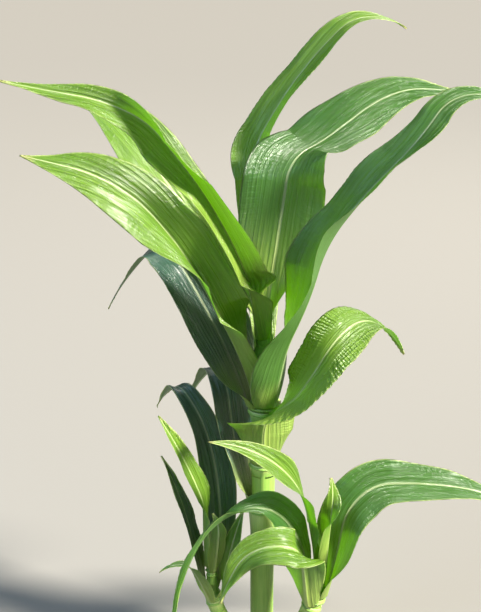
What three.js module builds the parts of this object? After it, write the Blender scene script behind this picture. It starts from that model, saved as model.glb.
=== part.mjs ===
// A young maize plant: a main stalk and two side shoots from one root, with arching strap leaves.
// Millimetres and degrees, +Z up. The origin is the middle of the flat cut at ground level.
// A heading is a compass angle in the ground plane, from +X towards +Y. A pitch is the angle above level.
import * as THREE from 'three';

// The clear gap under each leaf's foot and beside each shoot's foot.
const SEAT_GAP = 0.3;

// How finely the stems and blades are drawn.
const STEM_SIDES = 16;
const STEM_STEP = 26;
const STEM_COURSE_STEPS = 40;
const BLADE_STEP = 21;
const BLADE_MIN_STEPS = 10;
const BLADE_STRIPS = 4;

// A blade is this share of its length thick, and its tip has this half width.
const BLADE_THICKNESS_SHARE = 0.0101;
const TIP_HALF_WIDTH = 1.6;
// A blade's foot wraps this far round its stem to the left and right, and lets go over this share of it.
const WRAP = [80, 80];
const WRAP_SHARE = 0.16;
// How fast a blade widens above its foot, where it is widest, and how its sides draw in to the tip.
const FOOT_FLARE = 1.8;
const WIDEST_SHARE = 0.38;
const TIP_FALL = 1.9;
const TIP_DRAW = 1.15;
// Where along a blade the middle value of its fold and curl holds.
const MIDDLE_SHARE = 0.4;
// The waves of a blade's two margins run apart by this angle in radians, and stop just short of the tip.
const WAVE_LAG = 1.9;
const WAVE_END_SHARE = 0.95;

// A leaf's sheath stands out from the stem by this much just under its collar, and drops back over the edge.
const SHEATH_RISE = 1.3;
const COLLAR_EDGE = 1.2;
// Every stem spreads by this much at the ground, up to this height.
const ROOT_FLARE = 3.2;
const ROOT_FLARE_HEIGHT = 22;
// Small steps that keep a height below its collar or the stem's end, and a curl from being nothing.
const JUST_UNDER = 1e-6;
const LEAST_CURL = 1e-4;

const COLOURS = { stalk: 0x8a9c62, bright: 0x8faa4e, mid: 0x678f42, deep: 0x3d6a33 };
const STALK_ROUGHNESS = 0.6;
const BLADE_ROUGHNESS = 0.45;

// Each stem: the side of the main stalk that its foot stands on, its length, its course
// and its radius as [share of the length, radius].
// A course is a list of [share of the length, pitch, heading], and an angle runs evenly between two entries.
const STEMS = {
  main_stalk: {
    beside: null,
    length: 462,
    course: [[0, 90, 0], [1, 89, 90]],
    radius: [[0, 13.6], [0.67, 13.4], [0.737, 15.6], [0.748, 9.6], [0.9, 8.2], [0.935, 6.6], [1, 5]],
  },
  right_tiller: {
    beside: -29,
    length: 165,
    course: [[0, 58, -40], [0.53, 66, -36], [0.76, 82, -30], [1, 84, 28]],
    radius: [[0, 10.5], [0.667, 9.6], [0.79, 8], [0.91, 6], [1, 5]],
  },
  left_tiller: {
    beside: 200,
    length: 140,
    course: [[0, 62, 197], [0.486, 68, 194], [0.668, 84, 190], [1, 86, 81]],
    radius: [[0, 9], [0.607, 8.2], [0.729, 6.2], [0.85, 4.5], [1, 3.9]],
  },
};

// Each leaf: its stem, its colour, the height of its collar along that stem, the side of the stem it is on,
// its length and widest width, the course of its midrib as [share, pitch, heading, roll],
// its fold at the midrib and the curl of its halves as [foot, middle, tip], and the waves of its margins.
const LEAVES = [
  {
    name: 'leaf_a_front_left', stem: 'main_stalk', tone: 'bright', collar: 344, side: 204,
    length: 446, width: 84, wrap: [86, 58], widest: 0.55, letGo: 0.34, flare: 2.2,
    course: [[0, 77, 204, -2], [0.12, 67, 216, -24], [0.25, 62, 210, -43], [0.31, 64, 207, -70],
      [0.42, 60, 208, -62], [0.52, 56, 208, -74], [0.62, 51, 203, -88], [0.78, 31, 194, -82],
      [0.89, 15, 184, -62], [1, 15, 182, -40]],
    fold: [30, 54, -12], curl: [0, 2, 10], wave: { height: 3, count: 4, phase: 0 },
  },
  {
    name: 'leaf_c_left', stem: 'main_stalk', tone: 'bright', collar: 420, side: 230,
    length: 476, width: 73, wrap: [61, 54], widest: 0.25, letGo: 0.17, flare: 2,
    course: [[0, 78, 230, 3], [0.12, 76, 226, -39], [0.2, 69, 205, -91], [0.29, 64, 202, -93],
      [0.46, 57, 195, -95], [0.59, 52, 175, -120], [0.69, 26, 178, -90], [0.82, 10, 180, -55],
      [1, 12, 180, -30]],
    fold: [53, 63, 0], curl: [0, 6, 0], wave: { height: 2.5, count: 6, phase: 0.3 },
  },
  {
    name: 'leaf_b_back_left', stem: 'main_stalk', tone: 'bright', collar: 434, side: 117,
    length: 400, width: 85, wrap: [26, 25], widest: 0.5, letGo: 0.08, flare: 1.6,
    course: [[0, 62, 117, -3], [0.08, 50, 154, -20], [0.6, 51, 157, -41], [0.75, 38, 150, -30],
      [0.86, 4, 121, -10], [1, -14, 118, 0]],
    fold: [0, 13, 14], curl: [0, 12, 0], wave: { height: 2, count: 4, phase: 0.6 },
  },
  {
    name: 'leaf_e_back_right', stem: 'main_stalk', tone: 'mid', collar: 446, side: 72,
    length: 424, width: 104, wrap: [43, 37], widest: 0.3, letGo: 0.26, flare: 1.6,
    course: [[0, 77, 72, -3], [0.1, 77, 46, 20], [0.2, 78, 44, 34], [0.38, 80, 38, 38],
      [0.44, 44, 40, 20], [0.5, 18, 28, 4], [0.58, 32, 22, 24], [0.68, 32, 22, 48], [0.8, 14, 20, 50],
      [0.88, -4, 16, 40], [1, -10, 8, 30]],
    fold: [6, 9, 1], curl: [0, 9, 0], wave: { height: 2.5, count: 5, phase: 0.1 },
  },
  {
    name: 'leaf_h_right', stem: 'main_stalk', tone: 'mid', collar: 337, side: -59,
    length: 542, width: 89, wrap: [34, 70], widest: 0.16, letGo: 0.25, flare: 2.3,
    course: [[0, 75, -59, 17], [0.12, 77, -32, 6], [0.2, 64, -36, 27], [0.35, 76, -8, 26],
      [0.48, 54, -4, 17], [0.64, 46, 1, 17], [0.765, 53, 22, 41], [0.82, 20, 14, 30], [0.89, -16, 7, 20],
      [1, -34, 0, 10]],
    fold: [18, 25, 6], curl: [0, 20, 0], wave: { height: 4, count: 4, phase: 0.5 },
  },
  {
    name: 'leaf_n_right', stem: 'main_stalk', tone: 'bright', collar: 258, side: -92,
    length: 364, width: 93, wrap: [86, 86], widest: 0.22, letGo: 0.28, flare: 1.9,
    course: [[0, 82, -92, 0], [0.12, 78, -91, 0], [0.19, 62, -66, 1], [0.24, 41, -21, -3],
      [0.31, 39, -14, 10], [0.37, 56, 3, 12], [0.51, 54, 28, 13], [0.62, 22, 45, 30], [0.77, -30, 45, 20],
      [1, -58, 44, 0]],
    fold: [2, 4, 11], curl: [0, 2, 0], wave: { height: 2, count: 3, phase: 0 },
  },
  {
    name: 'leaf_m_left', stem: 'main_stalk', tone: 'deep', collar: 329, side: 168,
    length: 332, width: 92, wrap: [76, 42], widest: 0.3, letGo: 0.21, flare: 2.3,
    course: [[0, 72, 168, -3], [0.12, 68, 168, -22], [0.55, 58, 161, -33], [0.66, 20, 150, -20],
      [0.74, -48, 165, 0], [1, -62, 190, 0]],
    fold: [13, 10, 7], curl: [0, 8, 0], wave: { height: 2, count: 3, phase: 0.4 },
  },
  {
    name: 'leaf_k_low_left', stem: 'main_stalk', tone: 'deep', collar: 196, side: 170,
    length: 270, width: 58, wrap: [80, 80], letGo: 0.16, flare: 1.8,
    course: [[0, 78, 170, 0], [0.1, 74, 160, 0], [0.5, 80, 125, 0], [0.62, 50, 120, 0],
      [0.74, -40, 125, 0], [1, -72, 170, 0]],
    fold: [12, 14, 8], curl: [0, 6, 0], wave: { height: 2, count: 3, phase: 0.2 },
  },
  {
    name: 'leaf_l_top', stem: 'main_stalk', tone: 'bright', collar: 376, side: 92,
    length: 540, width: 60, wrap: [42, 41], widest: 0.5, letGo: 0.15, flare: 2,
    course: [[0, 77, 92, 0], [0.1, 60, 92, 2], [0.43, 73, 107, 2], [0.54, 59, 22, 11], [0.62, 56, 13, 20],
      [0.82, 44, 6, 33], [0.9, -3, 20, 21], [1, -34, 26, 10]],
    fold: [19, 19, 15], curl: [0, 5, 0], wave: { height: 2, count: 4, phase: 0.7 },
  },
  {
    name: 'tiller_leaf_over_stalk', stem: 'right_tiller', tone: 'mid', collar: 124, side: 192,
    length: 356, width: 49, wrap: [28, 42], widest: 0.36, letGo: 0.2, flare: 1.8,
    course: [[0, 86, 192, 5], [0.11, 77, 172, -14], [0.23, 60, 192, -64], [0.34, 37, 210, -47],
      [0.42, 7, 204, 6], [0.52, -24, 197, 31], [0.62, -54, 195, 24], [0.78, -73, 186, 0],
      [1, -82, 184, 0]],
    fold: [0, 2, 16], curl: [0, 17, 0], wave: { height: 1.5, count: 3, phase: 0.4 },
  },
  {
    name: 'tiller_leaf_front', stem: 'right_tiller', tone: 'bright', collar: 96, side: 239,
    length: 250, width: 55, wrap: [58, 77], widest: 0.34, letGo: 0.34, flare: 2.1,
    course: [[0, 69, 239, -4], [0.1, 71, 254, -5], [0.36, 68, 256, -1], [0.46, 36, 207, -39],
      [0.62, -18, 175, -50], [0.8, -62, 187, -66], [1, -74, 183, -24]],
    fold: [25, 5, 15], curl: [0, 4, 0], wave: { height: 1.5, count: 3, phase: 0.1 },
  },
  {
    name: 'tiller_leaf_back_left', stem: 'right_tiller', tone: 'bright', collar: 148, side: 131,
    length: 262, width: 40, wrap: [44, 49], letGo: 0.18, flare: 2,
    course: [[0, 84, 131, 1], [0.2, 78, 227, -25], [0.37, 68, 220, -25], [0.53, 53, 213, -50],
      [0.65, 43, 204, -62], [0.77, 31, 197, -62], [1, 7, 190, -60]],
    fold: [12, 12, 9], curl: [0, -1, 0], wave: { height: 1.5, count: 3, phase: 0.6 },
  },
  {
    name: 'tiller_leaf_right', stem: 'right_tiller', tone: 'mid', collar: 108, side: 5,
    length: 366, width: 67, wrap: [71, 73], widest: 0.3, letGo: 0.2, flare: 2.5,
    course: [[0, 76, 5, 0], [0.1, 78, 2, 16], [0.26, 79, 25, 24], [0.38, 40, 22, 46], [0.5, -2, 9, 44],
      [0.77, -15, 8, 31], [1, -54, 4, 18]],
    fold: [14, 16, 11], curl: [0, 5, 0], wave: { height: 2, count: 4, phase: 0.2 },
  },
  {
    name: 'tiller_leaf_heart', stem: 'right_tiller', tone: 'bright', collar: 154, side: -40,
    length: 118, width: 34, wrap: [76, 76], widest: 0.42, letGo: 0.6, flare: 1.6,
    course: [[0, 86, -40, 0], [0.5, 84, 10, 0], [1, 78, 160, 0]],
    fold: [14, 20, 10], curl: [0, 20, 0], wave: { height: 1, count: 2, phase: 0.2 },
  },
  {
    name: 'tiller_leaf_pale', stem: 'left_tiller', tone: 'bright', collar: 128, side: 181,
    length: 220, width: 42, wrap: [50, 41], letGo: 0.2, flare: 1.8,
    course: [[0, 86, 181, -2], [0.34, 90, 185, -3], [0.46, 71, 186, -30], [0.8, 64, 185, -32],
      [1, 60, 180, -32]],
    fold: [14, 14, 9], curl: [0, 6, 0], wave: { height: 1, count: 3, phase: 0.6 },
  },
  {
    name: 'tiller_leaf_tall', stem: 'left_tiller', tone: 'deep', collar: 96, side: 70,
    length: 344, width: 46, wrap: [40, 36], letGo: 0.16, flare: 1.8,
    course: [[0, 72, 70, 0], [0.12, 74, 66, 0], [0.36, 80, 120, -20], [0.62, 67, 158, -40],
      [0.74, 44, 144, -30], [0.81, -28, 119, 0], [1, -60, 130, 0]],
    fold: [14, 14, 8], curl: [0, 6, 0], wave: { height: 1, count: 3, phase: 0.1 },
  },
  {
    name: 'tiller_leaf_dark', stem: 'left_tiller', tone: 'deep', collar: 88, side: 165,
    length: 198, width: 28,
    wrap: [28, 28],
    course: [[0, 72, 165, 0], [0.15, 78, 165, 0], [0.5, 78, 172, -20], [1, 62, 172, -30]],
    fold: [14, 14, 8], curl: [0, 6, 0], wave: { height: 1, count: 3, phase: 0.3 },
  },
  {
    name: 'tiller_leaf_small_front', stem: 'left_tiller', tone: 'mid', collar: 84, side: 240,
    length: 118, width: 28,
    wrap: [34, 30],
    course: [[0, 62, 240, 0], [0.3, 64, 228, 0], [0.6, 58, 225, 0], [0.75, 10, 190, 0], [1, -50, 180, 0]],
    fold: [14, 14, 8], curl: [0, 6, 0], wave: { height: 1, count: 2, phase: 0.3 },
  },
  {
    name: 'tiller_leaf_inner_front', stem: 'left_tiller', tone: 'mid', collar: 122, side: -55,
    length: 100, width: 26,
    wrap: [50, 50],
    course: [[0, 76, -55, 0], [0.5, 80, -60, 0], [1, 62, -150, 0]],
    fold: [14, 14, 8], curl: [0, 6, 0], wave: { height: 1, count: 2, phase: 0.8 },
  },
  {
    name: 'tiller_leaf_inner_right', stem: 'left_tiller', tone: 'mid', collar: 88, side: -25,
    length: 120, width: 28,
    wrap: [34, 34],
    course: [[0, 74, -25, 0], [0.3, 80, 15, 20], [0.6, 74, 31, 30], [1, 62, 45, 20]],
    fold: [14, 14, 8], curl: [0, 6, 0], wave: { height: 1, count: 2, phase: 0.5 },
  },
];

const toRadians = THREE.MathUtils.degToRad;

/** The unit vector at a pitch and heading. */
function direction(pitch, heading) {
  const level = Math.cos(toRadians(pitch));
  return new THREE.Vector3(
    level * Math.cos(toRadians(heading)),
    level * Math.sin(toRadians(heading)),
    Math.sin(toRadians(pitch)),
  );
}

/** A value of a list of [share, value, value, ...] entries at a share, run evenly between entries. */
function valueAt(entries, share, column) {
  let last = entries[0];
  for (const entry of entries) {
    if (entry[0] >= share) {
      const span = entry[0] - last[0];
      const part = span > 0 ? (share - last[0]) / span : 0;
      return THREE.MathUtils.lerp(last[column], entry[column], part);
    }
    last = entry;
  }
  return last[column];
}

/** A smooth run through a foot, middle and tip value. */
function blend3([foot, middle, tip], share) {
  const first = THREE.MathUtils.smoothstep(share, 0, MIDDLE_SHARE);
  const second = THREE.MathUtils.smoothstep(share, MIDDLE_SHARE, 1);
  return foot + (middle - foot) * first + (tip - middle) * second;
}

/** Points and axes along a course: along is forward, across is to the left, facing is the upper side. */
function walk(start, course, length, steps) {
  const stations = [];
  const place = start.clone();
  for (let i = 0; i <= steps; i += 1) {
    const share = i / steps;
    const pitch = valueAt(course, share, 1);
    const heading = valueAt(course, share, 2);
    const roll = course[0].length > 3 ? valueAt(course, share, 3) : 0;
    const along = direction(pitch, heading);
    const across = direction(0, heading + 90).applyAxisAngle(along, toRadians(roll));
    const facing = along.clone().cross(across);
    stations.push({ share, place: place.clone(), along, across, facing });
    const middle = (i + 0.5) / steps;
    const stride = direction(valueAt(course, middle, 1), valueAt(course, middle, 2));
    place.addScaledVector(stride, length / steps);
  }
  return stations;
}

/** Where a stem stands: the main stalk on the origin, and a side shoot just clear of its flared foot. */
function stemFoot(stem) {
  if (stem.beside === null) return new THREE.Vector3();
  const apart = STEMS.main_stalk.radius[0][1] + stem.radius[0][1] + 2 * ROOT_FLARE + SEAT_GAP;
  return direction(0, stem.beside).multiplyScalar(apart);
}

/** The stem's place at a height along it, run evenly between its stations. */
function stemPlace(stem, height) {
  const stations = walk(stemFoot(stem), stem.course, stem.length, STEM_COURSE_STEPS);
  const at = Math.min((height / stem.length) * STEM_COURSE_STEPS, STEM_COURSE_STEPS - JUST_UNDER);
  const low = stations[Math.floor(at)];
  const high = stations[Math.floor(at) + 1];
  return low.place.clone().lerp(high.place, at - Math.floor(at));
}

/** The stem's radius with the sheath that ends at the next collar above, and the flare at the ground. */
function stemRadius(stem, collars, height) {
  const above = collars.find((collar) => collar > height);
  const below = [...collars].reverse().find((collar) => collar <= height) ?? 0;
  const sheath = above === undefined ? 0 : SHEATH_RISE * ((height - below) / (above - below));
  const flare = ROOT_FLARE * Math.max(0, 1 - height / ROOT_FLARE_HEIGHT) ** 2;
  return valueAt(stem.radius, height / stem.length, 1) + sheath + flare;
}

/** A closed body from rings of points, each ring with the same count, capped at both ends. */
function skin(rings) {
  const count = rings[0].length;
  const points = rings.flat();
  const index = [];
  for (let r = 0; r + 1 < rings.length; r += 1) {
    for (let i = 0; i < count; i += 1) {
      const a = r * count + i;
      const b = r * count + ((i + 1) % count);
      index.push(a, b, b + count, a, b + count, a + count);
    }
  }
  return { points, index, count, rings: rings.length };
}

/** A geometry from points and triangle corners. */
function toGeometry(points, index) {
  const geometry = new THREE.BufferGeometry();
  const flat = points.flatMap((p) => [p.x, p.y, p.z]);
  geometry.setAttribute('position', new THREE.Float32BufferAttribute(flat, 3));
  geometry.setIndex(index);
  geometry.computeVertexNormals();
  return geometry;
}

/** A stem as rings round its course, level at the foot, with a step at each collar. */
function stemGeometry(stem, collars) {
  const heights = new Set([0, ROOT_FLARE_HEIGHT / 2, ROOT_FLARE_HEIGHT, stem.length]);
  for (let h = ROOT_FLARE_HEIGHT + STEM_STEP; h < stem.length; h += STEM_STEP) {
    if (collars.every((collar) => Math.abs(collar - h) > STEM_STEP / 4)) heights.add(h);
  }
  for (const collar of collars) {
    heights.add(collar);
    heights.add(collar + COLLAR_EDGE);
  }
  const sorted = [...heights].sort((a, b) => a - b);
  const rings = sorted.map((height) => {
    const share = height / stem.length;
    const pitch = valueAt(stem.course, share, 1);
    const heading = valueAt(stem.course, share, 2);
    const level = height === 0;
    const along = level ? new THREE.Vector3(0, 0, 1) : direction(pitch, heading);
    const side = direction(0, heading + 90);
    const out = side.clone().cross(along).normalize();
    const centre = stemPlace(stem, height);
    const radius = stemRadius(stem, collars, Math.max(height - JUST_UNDER, 0));
    return Array.from({ length: STEM_SIDES }, (_, i) => {
      const angle = (i / STEM_SIDES) * Math.PI * 2;
      return centre.clone()
        .addScaledVector(out, Math.cos(angle) * radius)
        .addScaledVector(side, Math.sin(angle) * radius);
    });
  });
  const body = skin(rings);
  const foot = body.points.length;
  body.points.push(stemPlace(stem, 0));
  body.points.push(stemPlace(stem, stem.length));
  const last = (body.rings - 1) * body.count;
  for (let i = 0; i < body.count; i += 1) {
    const next = (i + 1) % body.count;
    body.index.push(foot, next, i);
    body.index.push(foot + 1, last + i, last + next);
  }
  return toGeometry(body.points, body.index);
}

/** A blade's half width at a share of its length: clasping at the foot, widest part way, drawn to a point. */
function halfWidth(leaf, share, footHalf) {
  const widest = leaf.widest ?? WIDEST_SHARE;
  const half = leaf.width / 2;
  if (share < widest) {
    const rise = 1 - (1 - share / widest) ** (leaf.flare ?? FOOT_FLARE);
    return footHalf + (half - footHalf) * rise;
  }
  const fall = (share - widest) / (1 - widest);
  return TIP_HALF_WIDTH + (half - TIP_HALF_WIDTH) * (1 - fall ** TIP_FALL) ** TIP_DRAW;
}

/** A blade: an upper and an under face across the midrib at each station, closed along the margins. */
function bladeGeometry(leaf, stem, collars) {
  const thick = leaf.length * BLADE_THICKNESS_SHARE;
  const wraps = (leaf.wrap ?? WRAP).map(toRadians);
  const chord = Math.cos(Math.max(...wraps) / BLADE_STRIPS);
  const foot = leaf.collar + SEAT_GAP + COLLAR_EDGE * 2;
  const wrapRadius = (stemRadius(stem, collars, foot) + SEAT_GAP) / chord + thick / 2;
  const rise = stemPlace(stem, foot + 1).sub(stemPlace(stem, foot)).normalize();
  const out = direction(0, leaf.side);
  out.addScaledVector(rise, -out.dot(rise)).normalize();
  const start = stemPlace(stem, foot).addScaledVector(out, wrapRadius);
  const steps = Math.max(BLADE_MIN_STEPS, Math.round(leaf.length / BLADE_STEP));
  const stations = walk(start, leaf.course, leaf.length, steps);
  const rings = stations.map(({ share, place, across, facing }) => {
    const hold = 1 - THREE.MathUtils.smoothstep(share, 0, leaf.letGo ?? WRAP_SHARE);
    const fold = toRadians(blend3(leaf.fold, share)) * (1 - hold);
    const wave = leaf.wave.height * Math.sin(Math.PI * Math.min(1, share / WAVE_END_SHARE)) * (1 - hold);
    const upper = [];
    const under = [];
    for (let i = 0; i <= BLADE_STRIPS; i += 1) {
      const q = (i / BLADE_STRIPS) * 2 - 1;
      const reach = Math.abs(q);
      const wrap = wraps[q > 0 ? 0 : 1];
      const half = halfWidth(leaf, share, wrapRadius * wrap);
      const curl = toRadians(blend3(leaf.curl, share)) * (1 - hold) + wrap * hold;
      const turn = fold + curl * reach;
      const bend = Math.max(curl, LEAST_CURL);
      const aside = ((Math.sin(fold + bend * reach) - Math.sin(fold)) / bend) * half * Math.sign(q);
      const up = ((Math.cos(fold) - Math.cos(fold + bend * reach)) / bend) * half;
      const ripple = wave * reach ** 2
        * Math.sin(2 * Math.PI * (leaf.wave.count * share + leaf.wave.phase) + (q > 0 ? WAVE_LAG : 0));
      const point = place.clone().addScaledVector(across, aside).addScaledVector(facing, up + ripple);
      const normal = across.clone().multiplyScalar(-Math.sin(turn) * Math.sign(q))
        .addScaledVector(facing, Math.cos(turn));
      upper.push(point.clone().addScaledVector(normal, thick / 2));
      under.push(point.clone().addScaledVector(normal, -thick / 2));
    }
    return [...under, ...upper.reverse()];
  });
  const body = skin(rings);
  const last = (body.rings - 1) * body.count;
  const half = body.count / 2;
  for (let i = 0; i + 1 < half; i += 1) {
    const j = body.count - 1 - i;
    body.index.push(i, j, j - 1, i, j - 1, i + 1);
    body.index.push(last + i, last + j - 1, last + j, last + i, last + i + 1, last + j - 1);
  }
  return toGeometry(body.points, body.index);
}

/** A named mesh of one colour. */
function piece(name, geometry, color, roughness) {
  const mesh = new THREE.Mesh(geometry, new THREE.MeshStandardMaterial({ color, roughness, metalness: 0 }));
  mesh.name = name;
  return mesh;
}

const group = new THREE.Group();
for (const [name, stem] of Object.entries(STEMS)) {
  const own = LEAVES.filter((leaf) => leaf.stem === name);
  const collars = own.map((leaf) => leaf.collar).sort((a, b) => a - b);
  group.add(piece(name, stemGeometry(stem, collars), COLOURS.stalk, STALK_ROUGHNESS));
  for (const leaf of own) {
    group.add(piece(leaf.name, bladeGeometry(leaf, stem, collars), COLOURS[leaf.tone], BLADE_ROUGHNESS));
  }
}

export default group;
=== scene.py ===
"""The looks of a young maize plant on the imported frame: ribbed blades, rolled sheaths and collars."""
import logging
import math
from dataclasses import dataclass, field
from enum import Enum
from typing import Any, Callable, Sequence

import bpy
import numpy as np
from mathutils import Matrix, Vector


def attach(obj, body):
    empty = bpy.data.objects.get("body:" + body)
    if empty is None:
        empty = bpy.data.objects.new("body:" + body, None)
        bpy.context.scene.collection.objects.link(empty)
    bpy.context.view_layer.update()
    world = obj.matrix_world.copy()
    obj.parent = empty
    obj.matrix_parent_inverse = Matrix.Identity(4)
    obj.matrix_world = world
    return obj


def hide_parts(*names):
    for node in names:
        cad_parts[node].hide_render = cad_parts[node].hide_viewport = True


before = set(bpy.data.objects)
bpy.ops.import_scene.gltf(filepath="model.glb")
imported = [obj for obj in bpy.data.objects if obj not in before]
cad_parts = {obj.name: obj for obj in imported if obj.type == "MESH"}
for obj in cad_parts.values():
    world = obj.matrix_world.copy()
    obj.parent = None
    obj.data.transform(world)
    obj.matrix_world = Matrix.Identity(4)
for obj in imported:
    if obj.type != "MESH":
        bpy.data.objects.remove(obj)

log = logging.getLogger("maize_plant")

Colour = tuple[float, float, float]
Course = Sequence[tuple[float, ...]]

MM = 0.001
TO_MM = 1000.0
TURN = 2 * math.pi
JUST_UNDER = 1e-6

# Stems, in millimetres, as the frame has them. The seat gap is at each leaf's and each shoot's foot.
SEAT_GAP = 0.3
SHEATH_RISE = 1.3
COLLAR_EDGE = 1.2
ROOT_FLARE = 3.2
ROOT_FLARE_HEIGHT = 22.0
STEM_COURSE_STEPS = 40

# Blades, as the frame has them.
BLADE_STRIPS = 4
BLADE_THICKNESS_SHARE = 0.0101
MIDDLE_SHARE = 0.4
TIP_FALL = 1.9
TIP_DRAW = 1.15
TIP_HALF_WIDTH = 0.5
WAVE_LAG = 1.9
WAVE_END_SHARE = 0.95

# The drawn midrib, in millimetres: it is full from one width of leaf on, and thins towards the tip.
RIB_HEIGHT = 1.5
RIB_WIDTH = 2.0
RIB_WIDTH_SHARE = 0.016
RIB_FULL_AT_WIDTH = 60.0
RIB_TAPER = 0.8
MIN_BLADE_STEPS = 40

# The drawn sheaths, in millimetres and in shares of a sheath's height.
SHEATH_OVERLAP = 14.0
SHEATH_MOUTH = 3.4
SHEATH_OPENING = 0.9
SHEATH_SWELL_FROM = 0.1
SHEATH_FLARE_FROM = 0.8
SHEATH_OPEN_FROM = 0.9
MIN_SHEATH_STEPS = 12
UPRIGHT_FOOT = 12.0
LIGULE_DEPTH = 2.0
LIGULE_HEIGHT = 5.0
LIGULE_GAP = 0.3
LIGULE_FALL = (0.1, 0.9)
WHORL_FOOT = 320.0
WHORL_SWELL_SHARE = 0.19
WHORL_FLARE = 1.0
LIGULE_SEED = 0.3
CULM_FACING = 20.0
CULM_INSET = -0.9
CULM_SEED = 0.5


class Tone(Enum):
    """How lit a leaf is painted: the tones are lit and shaded copies of one leaf colour, the darker ones
    painted shade.
    """

    # Painted sunlight: the lightest copy of the leaf colour.
    BRIGHT = "leaf_bright"
    # Painted half shade: a darker, bluer copy of the leaf colour.
    MID = "leaf_mid"
    # Painted shade with a painted blue sky reflection, for leaves that stand in the shade of others.
    DEEP = "leaf_deep"


class LampKind(Enum):
    """What a lamp is."""

    SUN = "SUN"
    AREA = "AREA"


@dataclass(frozen=True)
class Stem:
    """A stem's rule, in millimetres and degrees.

    Beside is the heading from the main stalk to its foot. Its course has entries of (share, pitch, heading),
    and its radius of (share, radius).
    """

    name: str
    beside: float | None
    length: float
    course: Course
    radius: Course


@dataclass(frozen=True)
class Leaf:
    """A leaf's rule, in millimetres and degrees.

    Collar and side say where its foot is. Its midrib's course has entries of (share, pitch, heading, roll).
    Fold and curl turn its halves up at the foot, the middle and the tip. Waves are those of its margins, as
    height, count and phase. Wrap is how far its left and right half clasp the stem. Let_go and widest are
    shares of its length. Pale is how far its pale foot reaches.
    """

    name: str
    stem: str
    tone: Tone
    collar: float
    side: float
    length: float
    width: float
    course: Course
    fold: tuple[float, float, float] = (14, 14, 8)
    curl: tuple[float, float, float] = (0, 6, 0)
    waves: tuple[float, float, float] = (1, 3, 0)
    wrap: tuple[float, float] = (50, 50)
    let_go: float = 0.16
    widest: float = 0.38
    flare: float = 1.8
    ruffle: float = 3.0
    wrinkle: float = 0.25
    pale: float = 90.0


STEMS = {
    stem.name: stem
    for stem in (
        Stem("main_stalk", None, 462, ((0, 90, 0), (1, 89, 90)),
             ((0, 13.6), (0.67, 13.4), (0.737, 15.6), (0.748, 9.6), (0.9, 8.2), (0.935, 6.6), (1, 5))),
        Stem("right_tiller", -29, 165, ((0, 58, -40), (0.53, 66, -36), (0.76, 82, -30), (1, 84, 28)),
             ((0, 10.5), (0.667, 9.6), (0.79, 8), (0.91, 6), (1, 5))),
        Stem("left_tiller", 200, 140, ((0, 62, 197), (0.486, 68, 194), (0.668, 84, 190), (1, 86, 81)),
             ((0, 9), (0.607, 8.2), (0.729, 6.2), (0.85, 4.5), (1, 3.9))),
    )
}

# Each leaf's tone paints it as sunlit, half shaded or shaded.
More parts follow.
